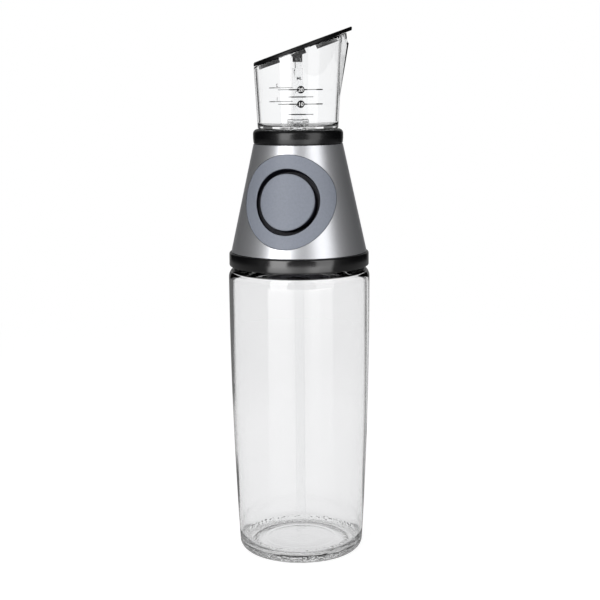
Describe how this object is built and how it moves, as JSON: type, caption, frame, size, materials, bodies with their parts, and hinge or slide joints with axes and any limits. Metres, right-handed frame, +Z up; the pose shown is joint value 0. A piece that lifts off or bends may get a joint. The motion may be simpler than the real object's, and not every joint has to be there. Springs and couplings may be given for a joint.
{
  "type": "measuring oil bottle",
  "caption": "Clear glass oil bottle with a screw-on cone-shaped pump head, side push button and a clear spouted measuring cup under a slanted lid.",
  "frame": {"origin": "centre of the base, on the surface that the bottle stands on", "axes": "+Z up the bottle's axis, -Y towards the push button, +X to the right of it; the spout points 16.6 degrees from +X towards +Y"},
  "size_m": [0.0784, 0.0784, 0.2937],
  "materials": {
    "clear_glass": "polished",
    "clear_plastic": "clear gloss plastic",
    "black_plastic": "semi-gloss",
    "satin_steel": "satin, bead blasted",
    "grey_rubber": "matte silicone",
    "dark_rubber": "matte silicone",
    "bright_steel": "polished",
    "white_plastic": "natural polypropylene"
  },
  "bodies": {
    "bottle": {"glass_bottle": "clear_glass"},
    "gasket": {"neck_gasket": "dark_rubber"},
    "head": {"base_collar": "black_plastic", "cone_shell": "satin_steel", "button_surround": "grey_rubber", "pump_bellows": "dark_rubber", "pump_body": "black_plastic", "inlet_retainer": "white_plastic", "outlet_retainer": "white_plastic", "inlet_fitting": "white_plastic", "dip_tube": "clear_plastic", "top_collar": "black_plastic", "riser_seal": "dark_rubber"},
    "button": {"push_button": "grey_rubber", "button_plunger": "black_plastic"},
    "inlet_valve": {"inlet_ball": "bright_steel"},
    "outlet_valve": {"outlet_ball": "bright_steel"},
    "seal": {"cup_seal": "dark_rubber"},
    "cup": {"measuring_cup": "clear_plastic", "riser_tube": "clear_plastic", "riser_nozzle": "black_plastic"},
    "lid": {"cup_lid": "black_plastic"}
  },
  "joints": [
    {"name": "head_lift", "type": "slide", "parent": "bottle", "child": "gasket", "axis": [0, 0, 1], "range_m": [0, 0.004]},
    {"name": "head_turn", "type": "hinge", "parent": "gasket", "child": "head", "pos_m": [0, 0, 0.17], "axis": [0, 0, 1], "range_deg": [0, 360]},
    {"name": "button_press", "type": "slide", "parent": "head", "child": "button", "axis": [0, 0.9767, -0.2148], "range_m": [0, 0.006], "stiffness_N_per_m": 400, "springref_m": -0.004, "deforming": ["pump_bellows"]},
    {"name": "inlet_ball_lift", "type": "slide", "parent": "head", "child": "inlet_valve", "axis": [0, 0, 1], "range_m": [0, 0.0015]},
    {"name": "outlet_ball_lift", "type": "slide", "parent": "head", "child": "outlet_valve", "axis": [0, 0, 1], "range_m": [0, 0.0015]},
    {"name": "cup_turn", "type": "hinge", "parent": "head", "child": "seal", "pos_m": [0, 0, 0.235], "axis": [0, 0, 1], "continuous": true},
    {"name": "cup_lift", "type": "slide", "parent": "seal", "child": "cup", "axis": [0, 0, 1], "range_m": [0, 0.03]},
    {"name": "lid_lift", "type": "slide", "parent": "cup", "child": "lid", "axis": [0, 0, 1], "range_m": [0, 0.025]}
  ],
  "couplings": [
    {"joint": "head_lift", "follows": "head_turn", "m_per_rad": 0.00063662}
  ]
}
